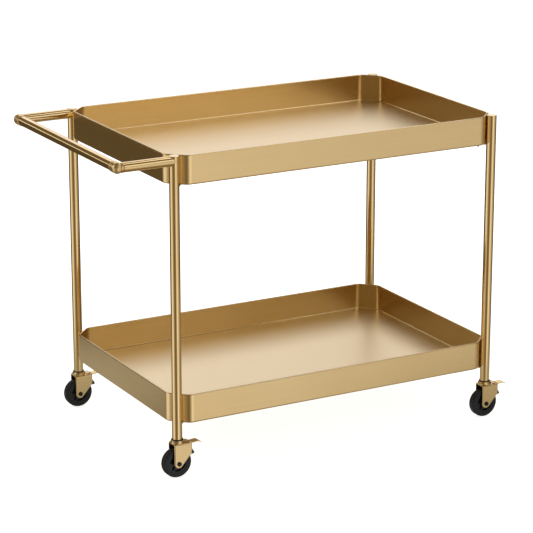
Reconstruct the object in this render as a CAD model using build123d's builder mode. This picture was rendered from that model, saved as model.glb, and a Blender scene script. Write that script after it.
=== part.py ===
from build123d import *
import os
from math import hypot, sqrt

# Bar cart on wheels: two deep brass trays between four tube posts, a push handle at one end and a
# swivelling braked caster under each post.
# Millimetres, +Z up. X runs along the trays and away from the handle, the floor is z = 0, and the
# origin is the middle of the whole cart's footprint.

# Tubes: posts and handle
tube_diameter = 25.0
tube_wall = 1.5
tube_radius = tube_diameter / 2
tube_bore = tube_radius - tube_wall

# Trays: folded sheet with clipped corners and a hemmed rim
tray_length = 930.0
tray_width = 610.0
tray_depth = 74.0
upper_rim = 812.0
lower_rim = 210.0
sheet = 2.0
corner_bend = 24.0
floor_bend = 5.0
hem_thickness = 5.0
hem_height = 8.0
hem_round = 2.4

# Posts stand in the clipped corners, flush with the tray walls
post_inset = tube_radius
post_gap = 0.2
clipped_leg = 2 * post_inset + (tube_radius + post_gap) * sqrt(2)
cap_flange = 1.5
cap_chamfer = 0.5
cap_depth = 14.0

# Corner tabs under the tray floors, each with a weld stud and a nut
tab_length = 46.0
tab_width = 18.0
tab_thickness = 3.0
stud_reach = 33.0
stud_radius = 2.5
stud_length = 11.0
stud_chamfer = 0.5
stud_hole_radius = 3.0
nut_across_flats = 8.0
nut_height = 4.0
thread_gap = 0.05

# Push handle
handle_reach = 148.0
fitting_radius = 14.0
fitting_sleeve = 22.0
fitting_nose = 12.0
nose_round = 12.0
sleeve_round = 1.0
crossbar_entry = 11.0
spigot_length = 32.0
fit_gap = 0.05

# Casters
wheel_radius = 37.5
wheel_width = 21.0
trail = 3.5
fork_top = 88.0
fork_width = 36.0
fork_sheet = 2.5
fork_back = -15.5
fork_front = 32.3
fork_toe_height = 60.5
fork_toe = (26.0, 54.0)
fork_bend = 3.0
fork_corner = 2.0
fork_window = 17.6
swivel_gap = 0.3
running_gap = 0.05
spindle_radius = 5.0
spindle_head_radius = 9.0
spindle_head = 2.5
collar_bottom_radius = 17.5
collar_top_radius = 15.0
collar_height = 8.2
collar_rim = 3.3
collar_round = 1.0
stem_radius = 5.5
stem_length = 36.0
stem_end_gap = 1.0
socket_flange_radius = 14.5
socket_flange = 2.0
socket_length = 40.0
tyre_bore = 26.0
tread_round = 4.0
bead_round = 0.8
hub_boss_radius = 11.0
hub_boss_half = 14.5
hub_web_half = 4.0
hub_rim_inner = 22.0
hub_rim_half = 9.5
rib_width = 2.4
rib_count = 6
rib_inset = 1.0
spacer_radius = 6.0
axle_radius = 4.0
axle_head_radius = 5.75
axle_head = 3.2
axle_dome = 1.9
axle_thread = 1.8

# Brake: a pedal on a cross pin, with a shoe that closes on the tread
pin_x = 25.0
pin_z = 78.0
pin_radius = 2.5
pedal_width = 20.0
pedal_sheet = 2.0
pedal_path = [(19.0, 88.0), (28.0, 88.0), (36.0, 84.5), (53.0, 86.0), (61.0, 81.5)]
pedal_bend = 5.0
ear_radius = 5.2
shoe_pin = (32.5, 66.5)
shoe_ear_radius = 4.0
shoe_pin_radius = 2.4
shoe_inner = 42.6
shoe_outer = 51.0
shoe_from = 22.0
shoe_to = 43.0
shoe_round = 1.5
shoe_side_gap = 0.1

# Worked out from the sizes above
half_length = tray_length / 2
half_width = tray_width / 2
post_spread = half_length - post_inset
post_y = half_width - post_inset
tip_run = pedal_path[-1][0] - pedal_path[-2][0]
tip_drop = pedal_path[-2][1] - pedal_path[-1][1]
pedal_reach = pedal_path[-1][0] + pedal_sheet / 2 * tip_drop / hypot(tip_run, tip_drop)
tray_x = (handle_reach + fitting_radius - pedal_reach) / 2
crossbar_x = tray_x - post_spread - handle_reach
left_post_x = tray_x - post_spread
handle_z = upper_rim - tube_radius
collar_bottom = fork_top + swivel_gap
collar_top = collar_bottom + collar_height
post_bottom = collar_top + socket_flange
post_top = upper_rim - cap_flange
upper_floor = upper_rim - tray_depth
lower_floor = lower_rim - tray_depth
fork_inside = fork_width / 2 - fork_sheet
axle_x = -trail
axle_z = wheel_radius
corners = {"front_left": (-1, -1), "front_right": (1, -1), "back_left": (-1, 1), "back_right": (1, 1)}


os.makedirs("parts", exist_ok=True)


def save(builder, node):
    builder.part.label = node
    export_step(builder.part, f"parts/{node}.step")


def post_position(corner):
    side_x, side_y = corners[corner]
    return tray_x + side_x * post_spread, side_y * post_y


def inward_plane(corner, reach, z):
    """Level plane at a corner, `reach` from the post's axis towards the tray, with X pointing inwards."""
    x, y = post_position(corner)
    side_x, side_y = corners[corner]
    step = reach / sqrt(2)
    return Plane(origin=(x - side_x * step, y - side_y * step, z), x_dir=(-side_x, -side_y, 0))


# Trays

def make_tray(node, underside):
    with BuildPart() as tray:
        with BuildSketch(Plane.XY.offset(underside)) as outline:
            with Locations((tray_x, 0)):
                Rectangle(tray_length, tray_width)
            chamfer(outline.vertices(), clipped_leg)
            fillet(outline.vertices(), corner_bend)
        extrude(amount=tray_depth)
        fillet(tray.faces().sort_by(Axis.Z)[0].edges(), floor_bend)
        offset(amount=-sheet, openings=tray.faces().sort_by(Axis.Z)[-1])
        with BuildSketch(Plane.XY.offset(underside + tray_depth - hem_height)) as hem:
            with Locations((tray_x, 0)):
                Rectangle(tray_length, tray_width)
            chamfer(hem.vertices(), clipped_leg)
            fillet(hem.vertices(), corner_bend)
            offset(amount=-hem_thickness, mode=Mode.SUBTRACT)
        extrude(amount=hem_height)
        fillet(tray.faces().sort_by(Axis.Z)[-1].edges(), hem_round)
    save(tray, node)


make_tray("top_tray", upper_floor)
make_tray("bottom_tray", lower_floor)


# Posts, with flat caps in their tops and plastic stem sockets in their feet

for corner in corners:
    with BuildPart() as post:
        with BuildSketch(Plane.XY.offset(post_bottom)):
            with Locations(post_position(corner)):
                Circle(tube_radius)
                Circle(tube_bore, mode=Mode.SUBTRACT)
        extrude(amount=post_top - post_bottom)
    save(post, f"post_{corner}")

post_points = [post_position(corner) for corner in corners]

with BuildPart() as caps:
    with BuildSketch(Plane.XY.offset(post_top)):
        with Locations(*post_points):
            Circle(tube_radius)
    extrude(amount=cap_flange)
    chamfer(caps.faces().group_by(Axis.Z)[-1].edges(), cap_chamfer)
    with BuildSketch(Plane.XY.offset(post_top)):
        with Locations(*post_points):
            Circle(tube_bore - fit_gap)
    extrude(amount=-cap_depth)
save(caps, "post_caps")

with BuildPart() as sockets:
    with BuildSketch(Plane.XY.offset(collar_top)):
        with Locations(*post_points):
            Circle(socket_flange_radius)
    extrude(amount=socket_flange)
    with BuildSketch(Plane.XY.offset(post_bottom)):
        with Locations(*post_points):
            Circle(tube_bore - fit_gap)
    extrude(amount=socket_length)
    with BuildSketch(Plane.XY.offset(collar_top)):
        with Locations(*post_points):
            Circle(stem_radius + fit_gap)
    extrude(amount=stem_length + stem_end_gap, mode=Mode.SUBTRACT)
save(sockets, "stem_sockets")


# Corner tabs: coped against the posts, carrying the tray floors

with BuildPart() as tabs:
    for floor in (upper_floor, lower_floor):
        for corner in corners:
            with BuildSketch(inward_plane(corner, 0, floor)):
                with Locations((tab_length / 2, 0)):
                    SlotOverall(tab_length + tab_width, tab_width)
                with Locations((stud_reach, 0)):
                    Circle(stud_hole_radius, mode=Mode.SUBTRACT)
                Circle(tube_radius, mode=Mode.SUBTRACT)
                with Locations((-tube_diameter, 0)):
                    Rectangle(2 * tube_diameter, 2 * tube_diameter, mode=Mode.SUBTRACT)
            extrude(amount=-tab_thickness)
save(tabs, "corner_tabs")

with BuildPart() as studs:
    for floor in (upper_floor, lower_floor):
        for corner in corners:
            with BuildSketch(inward_plane(corner, stud_reach, floor)):
                Circle(stud_radius)
            extrude(amount=-stud_length)
    chamfer(studs.faces().filter_by(Plane.XY).group_by(Axis.Z)[0].edges(), stud_chamfer)
save(studs, "tray_studs")

with BuildPart() as nuts:
    for floor in (upper_floor, lower_floor):
        for corner in corners:
            with BuildSketch(inward_plane(corner, stud_reach, floor - tab_thickness)):
                RegularPolygon(nut_across_flats / 2, 6, major_radius=False)
                Circle(stud_radius + thread_gap, mode=Mode.SUBTRACT)
            extrude(amount=-nut_height)
save(nuts, "tray_nuts")


# Push handle: crossbar, corner fittings with spigots, and side rods coped to the left posts

crossbar_half = post_y - crossbar_entry

with BuildPart() as crossbar:
    with BuildSketch(Plane.XZ.offset(-crossbar_half)):
        with Locations((crossbar_x, handle_z)):
            Circle(tube_radius)
            Circle(tube_bore, mode=Mode.SUBTRACT)
    extrude(amount=2 * crossbar_half)
save(crossbar, "handle_crossbar")

for place, side in (("front", -1), ("back", 1)):
    rod_y = side * post_y

    with BuildPart() as fitting:
        with BuildSketch(Plane.XZ.offset(-side * (post_y - fitting_sleeve))):
            with Locations((crossbar_x, handle_z)):
                Circle(fitting_radius)
        extrude(amount=-side * (fitting_sleeve + fitting_nose))
        ends = fitting.faces().filter_by(Axis.Y).sort_by(Axis.Y)
        fillet(ends[-1 if side > 0 else 0].edges(), nose_round)
        fillet(fitting.faces().filter_by(Axis.Y).sort_by(Axis.Y)[0 if side > 0 else -1].edges(), sleeve_round)
        with BuildSketch(Plane.YZ.offset(crossbar_x)):
            with Locations((rod_y, handle_z)):
                Circle(tube_bore - fit_gap)
        extrude(amount=spigot_length)
        with BuildSketch(Plane.XZ.offset(-side * (post_y - fitting_sleeve))):
            with Locations((crossbar_x, handle_z)):
                Circle(tube_radius + fit_gap)
        extrude(amount=-side * (fitting_sleeve - crossbar_entry), mode=Mode.SUBTRACT)
    save(fitting, f"handle_corner_{place}")

    with BuildPart() as rod:
        with BuildSketch(Plane.YZ.offset(crossbar_x)):
            with Locations((rod_y, handle_z)):
                Circle(tube_radius)
                Circle(tube_bore, mode=Mode.SUBTRACT)
        extrude(amount=handle_reach)
        with BuildSketch(Plane.XY.offset(handle_z)):
            with Locations((left_post_x, rod_y)):
                Circle(tube_radius)
        extrude(amount=tube_diameter, both=True, mode=Mode.SUBTRACT)
        with BuildSketch(Plane.XZ.offset(-rod_y)):
            with Locations((crossbar_x, handle_z)):
                Circle(fitting_radius)
        extrude(amount=tube_diameter, both=True, mode=Mode.SUBTRACT)
    save(rod, f"handle_rod_{place}")


# Casters, one under each post

def caster_section(x, y, offset_y=0.0):
    """Upright plane through a caster: X forwards from the swivel axis, Y up from the floor."""
    return Plane(origin=(x, y + offset_y, 0), x_dir=(1, 0, 0), z_dir=(0, -1, 0))


def make_stem(node, x, y):
    """Grip stem, flared collar and the spindle that is riveted under the fork's top."""
    head_top = fork_top - fork_sheet - swivel_gap
    with BuildPart() as stem:
        with BuildSketch(caster_section(x, y)):
            with BuildLine():
                Polyline(
                    (0, head_top - spindle_head),
                    (spindle_head_radius, head_top - spindle_head),
                    (spindle_head_radius, head_top),
                    (spindle_radius, head_top),
                    (spindle_radius, collar_bottom),
                    (collar_bottom_radius, collar_bottom),
                    (collar_bottom_radius, collar_bottom + collar_rim),
                    (collar_top_radius, collar_top),
                    (stem_radius, collar_top),
                    (stem_radius, collar_top + stem_length),
                    (0, collar_top + stem_length),
                    close=True,
                )
            make_face()
        revolve(axis=Axis((x, y, 0), (0, 0, 1)))
        circles = stem.edges().filter_by(GeomType.CIRCLE)
        fillet(circles.filter_by(lambda edge: edge.radius > spindle_head_radius + collar_round), collar_round)
    save(stem, node)


def make_fork(node, x, y):
    """Folded fork: a flat top round the spindle and two cheeks, open above where the pedal passes."""
    with BuildPart() as fork:
        with BuildSketch(caster_section(x, y, -fork_width / 2)):
            with BuildLine() as outline:
                Polyline(
                    (fork_back, fork_top),
                    (fork_front, fork_top),
                    (fork_front, fork_toe_height),
                    fork_toe,
                )
                CenterArc((axle_x, axle_z), axle_x - fork_back, 0, 360)
            make_hull()
        extrude(amount=-fork_width)
        fillet(fork.edges().filter_by(Axis.Y).group_by(Axis.X)[-1], fork_corner)
        fillet(fork.edges().filter_by(Axis.X).group_by(Axis.Z)[-1], fork_bend)
        with BuildSketch(caster_section(x, y)):
            with Locations((fork_front / 2, (fork_top - fork_sheet) / 2)):
                Rectangle(4 * fork_front, fork_top - fork_sheet)
        extrude(amount=fork_inside, both=True, mode=Mode.SUBTRACT)
        with BuildSketch(Plane.XY.offset(fork_top)):
            with Locations((x + fork_window + fork_front / 2, y)):
                Rectangle(fork_front, 2 * fork_inside)
            with Locations((x, y)):
                Circle(spindle_radius + running_gap)
        extrude(amount=-2 * fork_sheet, mode=Mode.SUBTRACT)
        with BuildSketch(caster_section(x, y)):
            with Locations((axle_x, axle_z)):
                Circle(axle_radius + fit_gap)
            with Locations((pin_x, pin_z)):
                Circle(pin_radius + fit_gap)
        extrude(amount=fork_width, both=True, mode=Mode.SUBTRACT)
    save(fork, node)


def make_wheel(tyre_node, hub_node, x, y):
    """Rubber tyre on a ribbed plastic hub."""
    spin_axis = Axis((x + axle_x, y, axle_z), (0, 1, 0))
    section = Plane(origin=(x + axle_x, y, axle_z), x_dir=(1, 0, 0), z_dir=(0, 0, 1))

    with BuildPart() as tyre:
        with BuildSketch(section) as ring:
            with Locations(((tyre_bore + wheel_radius) / 2, 0)):
                Rectangle(wheel_radius - tyre_bore, wheel_width)
            fillet(ring.vertices().group_by(Axis.X)[-1], tread_round)
            fillet(ring.vertices().group_by(Axis.X)[0], bead_round)
        revolve(axis=spin_axis)
    save(tyre, tyre_node)

    with BuildPart() as hub:
        with BuildSketch(section) as profile:
            bore = spacer_radius + running_gap
            with Locations(((bore + hub_boss_radius) / 2, 0)):
                Rectangle(hub_boss_radius - bore, 2 * hub_boss_half)
            with Locations(((bore + tyre_bore) / 2, 0)):
                Rectangle(tyre_bore - bore, 2 * hub_web_half)
            with Locations(((hub_rim_inner + tyre_bore) / 2, 0)):
                Rectangle(tyre_bore - hub_rim_inner, 2 * hub_rim_half)
        revolve(axis=spin_axis)
        with BuildSketch(caster_section(x, y)):
            with Locations((axle_x, axle_z)):
                with PolarLocations((hub_boss_radius + hub_rim_inner) / 2, rib_count):
                    Rectangle(hub_rim_inner - hub_boss_radius + 2 * rib_inset, rib_width)
        extrude(amount=hub_rim_half - rib_inset, both=True)
    save(hub, hub_node)


def make_axle(x, y, tag):
    """Domed bolt and matching sleeve nut through the cheeks, and a spacer tube for the hub to turn on."""
    face = fork_width / 2
    for node, side in (("axle_bolt", -1), ("axle_nut", 1)):
        with BuildPart() as head:
            with BuildSketch(caster_section(x, y, side * face)):
                with Locations((axle_x, axle_z)):
                    Circle(axle_head_radius)
            extrude(amount=-side * axle_head)
            fillet(head.faces().sort_by(Axis.Y)[0 if side < 0 else -1].edges(), axle_dome)
            with BuildSketch(caster_section(x, y, side * face)):
                with Locations((axle_x, axle_z)):
                    Circle(axle_radius if side < 0 else axle_radius + fit_gap)
            if side < 0:
                extrude(amount=-(fork_width + axle_thread))
            else:
                extrude(amount=-(axle_thread + fit_gap), mode=Mode.SUBTRACT)
        save(head, f"{node}_{tag}")

    with BuildPart() as spacer:
        with BuildSketch(caster_section(x, y)):
            with Locations((axle_x, axle_z)):
                Circle(spacer_radius)
                Circle(axle_radius + fit_gap, mode=Mode.SUBTRACT)
        extrude(amount=fork_inside, both=True)
    save(spacer, f"axle_spacer_{tag}")


def make_brake(x, y, tag):
    """Foot pedal with two ears on a cross pin, and the shoe held between the ears."""
    ear_inside = pedal_width / 2 - pedal_sheet
    with BuildPart() as pedal:
        with BuildSketch(caster_section(x, y)):
            with BuildLine() as path:
                FilletPolyline(*pedal_path, radius=pedal_bend)
            trace(path.line, line_width=pedal_sheet)
        extrude(amount=pedal_width / 2, both=True)
        with BuildSketch(caster_section(x, y, -ear_inside), caster_section(x, y, ear_inside + pedal_sheet)):
            with BuildLine():
                CenterArc((pin_x, pin_z), ear_radius, 0, 360)
                CenterArc(shoe_pin, shoe_ear_radius, 0, 360)
                Line((pin_x - ear_radius, pedal_path[0][1]), pedal_path[1])
            make_hull()
            with Locations((pin_x, pin_z)):
                Circle(pin_radius + running_gap, mode=Mode.SUBTRACT)
            with Locations(shoe_pin):
                Circle(shoe_pin_radius + fit_gap, mode=Mode.SUBTRACT)
        extrude(amount=pedal_sheet)
    save(pedal, f"brake_pedal_{tag}")

    with BuildPart() as shoe:
        with BuildSketch(caster_section(x, y)) as pad:
            with BuildLine():
                inner = CenterArc((axle_x, axle_z), shoe_inner, shoe_from, shoe_to - shoe_from)
                outer = CenterArc((axle_x, axle_z), shoe_outer, shoe_from, shoe_to - shoe_from)
                Line(inner @ 0, outer @ 0)
                Line(inner @ 1, outer @ 1)
            make_face()
            fillet(pad.vertices(), shoe_round)
        extrude(amount=ear_inside - shoe_side_gap, both=True)
        with BuildSketch(caster_section(x, y)):
            with Locations(shoe_pin):
                Circle(shoe_pin_radius)
        extrude(amount=pedal_width / 2, both=True)
    save(shoe, f"brake_shoe_{tag}")

    with BuildPart() as pin:
        with BuildSketch(caster_section(x, y)):
            with Locations((pin_x, pin_z)):
                Circle(pin_radius)
        extrude(amount=fork_width / 2, both=True)
    save(pin, f"brake_pin_{tag}")


for corner in corners:
    caster_x, caster_y = post_position(corner)
    make_stem(f"caster_stem_{corner}", caster_x, caster_y)
    make_fork(f"caster_fork_{corner}", caster_x, caster_y)
    make_wheel(f"tyre_{corner}", f"wheel_hub_{corner}", caster_x, caster_y)
    make_axle(caster_x, caster_y, corner)
    make_brake(caster_x, caster_y, corner)
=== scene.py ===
import math

import bpy
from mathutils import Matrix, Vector


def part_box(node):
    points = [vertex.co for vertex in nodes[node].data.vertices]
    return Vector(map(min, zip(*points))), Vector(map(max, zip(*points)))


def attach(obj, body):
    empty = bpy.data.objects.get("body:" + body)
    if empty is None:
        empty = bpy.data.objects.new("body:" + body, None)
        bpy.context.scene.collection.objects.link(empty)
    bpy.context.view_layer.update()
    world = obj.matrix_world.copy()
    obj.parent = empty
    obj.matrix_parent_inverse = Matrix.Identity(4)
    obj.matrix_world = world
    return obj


# Looks for the brass bar cart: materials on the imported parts, the braze where the handle's rods meet the
# posts, the studio and the camera. Metres, +Z up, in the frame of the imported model.

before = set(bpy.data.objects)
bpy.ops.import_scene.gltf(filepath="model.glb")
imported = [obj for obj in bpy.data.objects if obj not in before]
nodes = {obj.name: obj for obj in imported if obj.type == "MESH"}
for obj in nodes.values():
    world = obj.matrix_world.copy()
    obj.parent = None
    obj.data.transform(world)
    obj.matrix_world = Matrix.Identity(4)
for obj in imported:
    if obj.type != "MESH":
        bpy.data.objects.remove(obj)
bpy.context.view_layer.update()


def show(thing):
    bpy.context.scene.collection.objects.link(thing)


def stand(thing, place, aim):
    """Put a camera or a light at a place, facing aim."""
    thing.location = place
    thing.rotation_mode = "QUATERNION"
    thing.rotation_quaternion = (Vector(aim) - Vector(place)).to_track_quat("-Z", "Y")
    show(thing)


# ---------------------------------------------------------------- camera

CAMERA_PLACE = (-2.7782, -5.0672, 2.1157)
CAMERA_AIM = (0.0186, 0.0180, 0.3980)
CAMERA_LENS = 156.4
CAMERA_SENSOR = 36.0
CAMERA_REACH = 100.0

camera = bpy.data.objects.new("camera", bpy.data.cameras.new("camera"))
camera.data.lens = CAMERA_LENS
camera.data.sensor_width = CAMERA_SENSOR
camera.data.clip_end = CAMERA_REACH
stand(camera, CAMERA_PLACE, CAMERA_AIM)
bpy.context.scene.camera = camera


# ---------------------------------------------------------------- material building

# How upright a face's normal is when the face starts to count as level, and when it counts fully.
LEVEL = (0.6, 0.8)


class Nodes:
    """Short calls for putting a node tree together."""

    def __init__(self, tree):
        self.tree = tree
        self.tree.nodes.clear()
        self.place = self.add("ShaderNodeTexCoord")

    def add(self, kind, **settings):
        node = self.tree.nodes.new(kind)
        for key, value in settings.items():
            setattr(node, key, value)
        return node

    def link(self, source, target):
        self.tree.links.new(source, target)

    def fill(self, socket, value):
        """Link an output to a socket, or set a number or a colour on it."""
        if hasattr(value, "is_output"):
            self.link(value, socket)
        elif isinstance(value, tuple):
            socket.default_value = (*value, 1.0)
        else:
            socket.default_value = value

    def noise(self, scale, detail=2.0, roughness=0.5):
        """Noise in object space; scale is in repeats per metre, one number or one for each axis."""
        mapping = self.add("ShaderNodeMapping")
        mapping.inputs["Scale"].default_value = scale if isinstance(scale, tuple) else (scale,) * 3
        self.link(self.place.outputs["Object"], mapping.inputs["Vector"])
        node = self.add("ShaderNodeTexNoise")
        self.link(mapping.outputs[0], node.inputs["Vector"])
        node.inputs["Scale"].default_value = 1.0
        node.inputs["Detail"].default_value = detail
        node.inputs["Roughness"].default_value = roughness
        return node.outputs["Fac"]

    def split(self, vector):
        """The X, Y and Z of a vector."""
        node = self.add("ShaderNodeSeparateXYZ")
        self.link(vector, node.inputs[0])
        return node.outputs

    def spread(self, value, low, high, start=0.0, end=1.0):
        """value, from start..end, spread over low..high and held at its ends."""
        node = self.add("ShaderNodeMapRange")
        self.fill(node.inputs["Value"], value)
        node.inputs["From Min"].default_value = start
        node.inputs["From Max"].default_value = end
        node.inputs["To Min"].default_value = low
        node.inputs["To Max"].default_value = high
        return node.outputs[0]

    def math(self, operation, a, b=0.0):
        node = self.add("ShaderNodeMath", operation=operation)
        self.fill(node.inputs[0], a)
        self.fill(node.inputs[1], b)
        return node.outputs[0]

    def plus(self, a, b):
        return self.math("ADD", a, b)

    def times(self, a, b):
        return self.math("MULTIPLY", a, b)

    def mix(self, factor, a, b):
        """a where factor is 0, b where it is 1, for numbers."""
        node = self.add("ShaderNodeMix", data_type="FLOAT")
        self.fill(node.inputs[0], factor)
        self.fill(node.inputs[2], a)
        self.fill(node.inputs[3], b)
        return node.outputs[0]

    def blend(self, factor, a, b):
        """a where factor is 0, b where it is 1, for colours."""
        node = self.add("ShaderNodeMix", data_type="RGBA")
        self.fill(node.inputs[0], factor)
        self.fill(node.inputs[6], a)
        self.fill(node.inputs[7], b)
        return node.outputs[2]

    def for_camera(self, seen, reflected, output):
        """One shader where the camera looks straight at it, another for every other ray."""
        path = self.add("ShaderNodeLightPath")
        choice = self.add("ShaderNodeMixShader")
        self.link(path.outputs["Is Camera Ray"], choice.inputs[0])
        self.link(reflected.outputs[0], choice.inputs[1])
        self.link(seen.outputs[0], choice.inputs[2])
        self.link(choice.outputs[0], output.inputs["Surface"])


class Surface(Nodes):
    """A material with one principled shader."""

    def __init__(self, name):
        self.material = bpy.data.materials.new(name)
        self.material.use_nodes = True
        super().__init__(self.material.node_tree)
        self.output = self.add("ShaderNodeOutputMaterial")
        self.shader = self.add("ShaderNodeBsdfPrincipled")
        self.link(self.shader.outputs[0], self.output.inputs["Surface"])

    def give(self, socket, value):
        """Fill one of the shader's own sockets."""
        self.fill(self.shader.inputs[socket], value)

    def bump(self, height, depth, strength=1.0):
        node = self.add("ShaderNodeBump")
        node.inputs["Strength"].default_value = strength
        node.inputs["Distance"].default_value = depth
        self.link(height, node.inputs["Height"])
        self.give("Normal", node.outputs[0])

    def level(self):
        """1 on faces that lie level, 0 on upright ones."""
        upward = self.split(self.place.outputs["Normal"])["Z"]
        return self.spread(self.math("ABSOLUTE", upward), 0.0, 1.0, *LEVEL)


# ---------------------------------------------------------------- materials

BRASS = (0.82, 0.60, 0.28)
BRASS_DULL = (0.76, 0.53, 0.22)
# The pale brass below is a painted sheen: a paler colour for level faces that stands in for the bright
# overhead light they reflect.
BRASS_PAINTED_SHEEN = (0.84, 0.67, 0.39)

# Brushing, in repeats per metre across and along its strokes, the tumbled finish, and their noise.
FINE = 900.0
LONG = 3.0
SPECKLE = 700.0
GRAIN = {"detail": 3.0, "roughness": 0.6}
GRAIN_DEPTH = 0.00002

# Wide patches of handling and small smudges, in repeats per metre, and what changes the roughness.
PATCHES = (3.0, 3.0, 5.0)
SMUDGES = 24.0
STREAKS_ROUGHEN = 0.05
SMUDGES_ROUGHEN = 0.03
FLOOR_ROUGHER = 0.12


def brass(name, grain, roughness=0.25, depth=GRAIN_DEPTH, painted_floor_sheen=False):
    """Satin brass with the fine streaks that grain gives for it, and soft patches of handling. Level faces
    can also get a painted sheen: a paler brass that stands in for the bright light they reflect.
    """
    m = Surface(name)
    streaks = grain(m)
    patches = m.noise(PATCHES, detail=3.0)
    smudges = m.noise(SMUDGES, detail=4.0, roughness=0.6)
    tone = m.plus(m.times(streaks, 0.5), m.times(patches, 0.5))
    colour = m.blend(m.spread(tone, 0.0, 1.0, start=0.35, end=0.65), BRASS, BRASS_DULL)
    rough = m.plus(m.spread(streaks, -STREAKS_ROUGHEN, STREAKS_ROUGHEN),
                   m.spread(smudges, -SMUDGES_ROUGHEN, SMUDGES_ROUGHEN))
    if painted_floor_sheen:
        # Painted sheen: level faces get the paler brass in place of the light they reflect, and a little
        # more roughness.
        colour = m.blend(m.level(), colour, BRASS_PAINTED_SHEEN)
        rough = m.plus(rough, m.times(m.level(), FLOOR_ROUGHER))
    m.give("Base Color", colour)
    m.give("Metallic", 1.0)
    m.give("Roughness", m.plus(rough, roughness))
    m.bump(streaks, depth)
    return m.material


def sheet_grain(m):
    """Brushing that runs level round the walls and lengthwise along the floor."""
    walls = m.noise((LONG, LONG, FINE), **GRAIN)
    floor = m.noise((LONG, FINE, LONG), **GRAIN)
    return m.mix(m.level(), walls, floor)


def tube_grain(axis):
    """Brushing along a tube that runs along one axis."""
    scale = tuple(LONG if each == axis else FINE for each in "XYZ")
    return lambda m: m.noise(scale, **GRAIN)


def speckle(m):
    """Fine tumbled finish with no direction."""
    return m.noise(SPECKLE, **GRAIN)


def dark_matter(name, colour, worn, roughness, grain, depth):
    """Black rubber or plastic: faint mottling, a fine moulded grain, and paler scuffs."""
    m = Surface(name)
    mottle = m.noise(60.0, detail=5.0, roughness=0.6)
    m.give("Base Color", m.blend(m.spread(mottle, 0.0, 1.0, start=0.45, end=0.75), colour, worn))
    m.give("Roughness", m.spread(mottle, roughness - 0.06, roughness + 0.08))
    m.bump(m.noise(grain), depth, strength=0.6)
    return m.material


def steel(name, colour, dull, roughness):
    """Blackened or plated steel with duller patches."""
    m = Surface(name)
    patches = m.noise(90.0, detail=4.0)
    m.give("Base Color", m.blend(m.spread(patches, 0.0, 1.0, start=0.35, end=0.7), colour, dull))
    m.give("Metallic", 1.0)
    m.give("Roughness", m.spread(patches, roughness - 0.06, roughness + 0.1))
    m.bump(m.noise(FINE, detail=3.0), GRAIN_DEPTH)
    return m.material


sheet_brass = brass("sheet_brass", sheet_grain, painted_floor_sheen=True)
tube_brass = {
    axis: brass(f"tube_brass_{axis.lower()}", tube_grain(axis), roughness=0.11, depth=0.000004)
    for axis in "XYZ"
}
turned_brass = brass("turned_brass", speckle, roughness=0.2)
cast_brass = brass("cast_brass", speckle, roughness=0.38)
caster_brass = brass("caster_brass", speckle, roughness=0.28)
rubber = dark_matter("tyre_rubber", colour=(0.006, 0.006, 0.006), worn=(0.016, 0.015, 0.015),
                     roughness=0.5, grain=900.0, depth=0.0001)
plastic = dark_matter("black_plastic", colour=(0.008, 0.008, 0.008), worn=(0.018, 0.018, 0.017),
                      roughness=0.4, grain=1600.0, depth=0.00005)
blackened = steel("blackened_steel", colour=(0.03, 0.03, 0.032), dull=(0.06, 0.055, 0.05), roughness=0.42)
zinc = steel("zinc_steel", colour=(0.62, 0.62, 0.60), dull=(0.48, 0.48, 0.46), roughness=0.3)

# The start of each part's name and its material; the longest start that fits is taken.
FINISHES = {
    "top_tray": sheet_brass,
    "bottom_tray": sheet_brass,
    "post_caps": turned_brass,
    "post": tube_brass["Z"],
    "handle_crossbar": tube_brass["Y"],
    "handle_rod": tube_brass["X"],
    "handle_corner": cast_brass,
    "corner_tabs": caster_brass,
    "caster": caster_brass,
    "brake_pedal": caster_brass,
    "brake_pin": caster_brass,
    "tyre": rubber,
    "wheel_hub": plastic,
    "brake_shoe": plastic,
    "stem_sockets": plastic,
    "axle_bolt": blackened,
    "axle_nut": blackened,
    "axle_spacer": zinc,
    "tray_studs": zinc,
    "tray_nuts": zinc,
}

for name, node in nodes.items():
    start = max((key for key in FINISHES if name.startswith(key)), key=len)
    node.material_slots[0].material = FINISHES[start]


# ---------------------------------------------------------------- braze round the handle's side rods

BEAD_STEPS = 96
BEAD_SIDES = 10
BEAD_RADIUS = 0.0011
BEAD_THIN = 0.0002
BEAD_RIPPLES = 9
BEAD_RIPPLE = 0.08
ALONG_ROD = Vector((1.0, 0.0, 0.0))


def middle(node, axis):
    low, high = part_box(node)
    return (low[axis] + high[axis]) / 2


def braze_bead(name, post, rod):
    """A thin bead round the coped end of a level rod, where it meets an upright post of the same size."""
    post_low, post_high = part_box(post)
    tube = (post_high[0] - post_low[0]) / 2
    post_x, rod_y, rod_z = middle(post, 0), middle(rod, 1), middle(rod, 2)
    points, faces = [], []
    for i in range(BEAD_STEPS):
        turn = 2 * math.pi * i / BEAD_STEPS
        out = Vector((0.0, math.sin(turn), math.cos(turn)))
        lean = abs(math.cos(turn))
        centre = Vector((post_x - tube * lean, rod_y, rod_z)) + tube * out
        radius = BEAD_THIN + BEAD_RADIUS * lean * (1.0 + BEAD_RIPPLE * math.sin(BEAD_RIPPLES * turn))
        for j in range(BEAD_SIDES):
            around = 2 * math.pi * j / BEAD_SIDES
            points.append(centre + radius * (math.cos(around) * out + math.sin(around) * ALONG_ROD))
    for i in range(BEAD_STEPS):
        here, there = i * BEAD_SIDES, (i + 1) % BEAD_STEPS * BEAD_SIDES
        for j in range(BEAD_SIDES):
            after = (j + 1) % BEAD_SIDES
            faces.append((here + j, there + j, there + after, here + after))
    mesh = bpy.data.meshes.new(name)
    mesh.from_pydata(points, [], faces)
    mesh.shade_smooth()
    mesh.materials.append(turned_brass)
    bead = bpy.data.objects.new(name, mesh)
    show(bead)
    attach(bead, "root")


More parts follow.
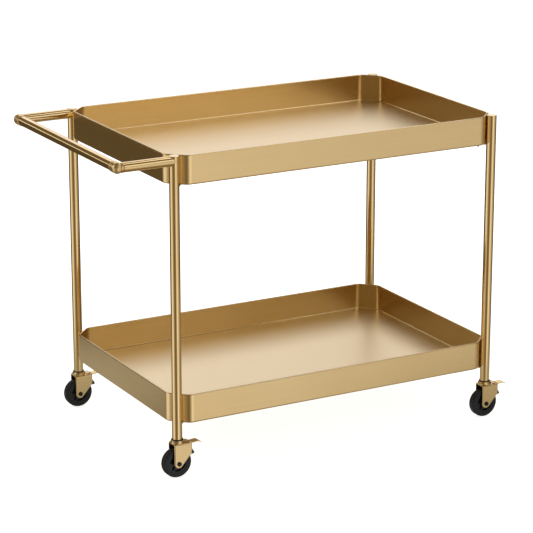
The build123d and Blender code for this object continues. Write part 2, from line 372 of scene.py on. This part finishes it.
braze_bead("braze_front", "post_front_left", "handle_rod_front")
braze_bead("braze_back", "post_back_left", "handle_rod_back")


# ---------------------------------------------------------------- studio

# Level direction from the middle of the cart to its front left corner, which is nearest the camera.
NEAR_CORNER = (-0.481, -0.876)

# Soft light panels: place, aim, width, height and radiance.
PANEL_COLOUR = (0.8, 0.84, 1.0)
PANELS = {
    "left_panel": ((-1.95, 0.6, 1.5), (0.0, 0.0, 0.9), 1.2, 1.3, 1.4),
    "right_panel": ((0.75, -2.35, 1.9), (0.1, 0.0, 1.0), 2.3, 1.3, 0.95),
    "back_panel": ((1.0, 2.4, 2.4), (-0.2, 0.0, 0.6), 3.2, 3.2, 1.02),
    "top_panel": ((1.0, -0.3, 2.6), (0.0, 0.2, 0.7), 1.4, 1.4, 1.1),
    "far_panel": ((-2.1, 2.5, 1.2), (-0.5, 0.0, 0.8), 1.2, 0.35, 1.0),
}

# The floor's paper gives its own light, which grows from one strength to another between two distances.
FLOOR_SIZE = 60.0
PAPER = (0.86, 0.86, 0.85)
PAPER_ROUGHNESS = 0.8
PAPER_LIGHT = (1.0, 1.0, 0.99)
PAPER_STRENGTH = {"low": 0.85, "high": 1.0, "start": 0.6, "end": 1.4}

# What reflections see on the floor behind the cart: a glow that ends between two distances from the
# middle, and within another on the near side of it.
GLOW = 0.42
GLOW_ENDS = (0.9, 1.3)
GLOW_NEAR = 0.5

# Light that the posts and walls mirror from below eye level, by the angle round the cart from its near
# corner: degrees to the right of that corner, and radiance.
SURROUND = (
    (-180, 0.1), (-104, 0.1), (-86, 1.05), (-58, 1.05), (-42, 0.5), (-16, 0.2), (4, 0.2), (20, 0.5),
    (34, 1.15), (46, 1.15), (58, 0.76), (78, 0.52), (94, 0.42), (114, 0.1), (180, 0.1),
)

# SURROUND gives way to the room, of this radiance, as a ray rises over FADE_UP. Nearly straight down,
# over DIM_DOWN, a DIM_SHARE of it is left. Both are the Z of the ray's direction.
ROOM = 0.17
FADE_UP = (0.0, 0.14)
DIM_DOWN = (-0.8, -0.5)
DIM_SHARE = 0.3

# Dim light is warm and bright light is white, and one turns into the other between two radiances.
DIM_COLOUR = (1.0, 0.78, 0.44)
BRIGHT_COLOUR = (0.98, 0.99, 1.1)
COLOUR_TURNS = (0.15, 0.7)


def make_panel(name, place, aim, width, height, radiance):
    """A soft light panel at a place, facing aim, out of the camera's sight."""
    data = bpy.data.lights.new(name, "AREA")
    data.shape = "RECTANGLE"
    data.size, data.size_y = width, height
    data.energy = radiance * math.pi * width * height / PANEL_COLOUR[0]
    data.color = PANEL_COLOUR
    light = bpy.data.objects.new(name, data)
    light.visible_camera = False
    stand(light, place, aim)


def toward_near(n, x, y):
    """How far x, y lie toward the near corner."""
    return n.plus(n.times(x, NEAR_CORNER[0]), n.times(y, NEAR_CORNER[1]))


def make_floor():
    """A pale floor for the camera; reflections look through it, down to the studio's lower half."""
    mesh = bpy.data.meshes.new("floor")
    half = FLOOR_SIZE / 2
    corners = [(-half, -half, 0), (half, -half, 0), (half, half, 0), (-half, half, 0)]
    mesh.from_pydata(corners, [], [(0, 1, 2, 3)])
    floor = bpy.data.objects.new("floor", mesh)
    show(floor)
    m = Surface("floor_paper")
    here = m.place.outputs["Object"]
    length = m.add("ShaderNodeVectorMath", operation="LENGTH")
    m.link(here, length.inputs[0])
    distance = length.outputs["Value"]
    m.give("Base Color", PAPER)
    m.give("Roughness", PAPER_ROUGHNESS)
    m.give("Emission Color", PAPER_LIGHT)
    m.give("Emission Strength", m.spread(distance, **PAPER_STRENGTH))
    x, y, _ = m.split(here)
    behind = m.times(m.spread(distance, 1.0, 0.0, *GLOW_ENDS),
                     m.spread(toward_near(m, x, y), 1.0, 0.0, 0.0, GLOW_NEAR))
    glow = m.add("ShaderNodeEmission")
    glow.inputs["Strength"].default_value = GLOW
    reflected = m.add("ShaderNodeMixShader")
    m.link(behind, reflected.inputs[0])
    m.link(m.add("ShaderNodeBsdfTransparent").outputs[0], reflected.inputs[1])
    m.link(glow.outputs[0], reflected.inputs[2])
    m.for_camera(m.shader, reflected, m.output)
    mesh.materials.append(m.material)


def surround(w, x, y):
    """SURROUND's radiance in the direction x, y."""
    near = toward_near(w, x, y)
    right = w.math("SUBTRACT", w.times(y, NEAR_CORNER[0]), w.times(x, NEAR_CORNER[1]))
    ramp = w.add("ShaderNodeValToRGB")
    w.link(w.spread(w.math("ARCTAN2", right, near), 0.0, 1.0, -math.pi, math.pi), ramp.inputs[0])
    stops = ramp.color_ramp.elements
    for _ in SURROUND[2:]:
        stops.new(0.5)
    for stop, (angle, radiance) in zip(stops, SURROUND):
        stop.position = (angle + 180) / 360
        stop.color = (radiance, radiance, radiance, 1.0)
    return ramp.outputs["Color"]


def make_world():
    """White behind the cart; in its reflections, a dim room with tall soft lights standing round it."""
    world = bpy.data.worlds.new("studio")
    world.use_nodes = True
    w = Nodes(world.node_tree)
    x, y, z = w.split(w.place.outputs["Generated"])
    low = w.times(w.spread(z, 1.0, 0.0, *FADE_UP), w.spread(z, DIM_SHARE, 1.0, *DIM_DOWN))
    light = w.mix(low, ROOM, surround(w, x, y))
    seen = w.add("ShaderNodeBackground")
    w.fill(seen.inputs["Color"], (1.0, 1.0, 1.0))
    room = w.add("ShaderNodeBackground")
    colour = w.blend(w.spread(light, 0.0, 1.0, *COLOUR_TURNS), DIM_COLOUR, BRIGHT_COLOUR)
    w.link(colour, room.inputs["Color"])
    w.link(light, room.inputs["Strength"])
    w.for_camera(seen, room, w.add("ShaderNodeOutputWorld"))
    bpy.context.scene.world = world


for name, layout in PANELS.items():
    make_panel(name, *layout)
make_floor()
make_world()
bpy.context.scene.view_settings.view_transform = "Standard"
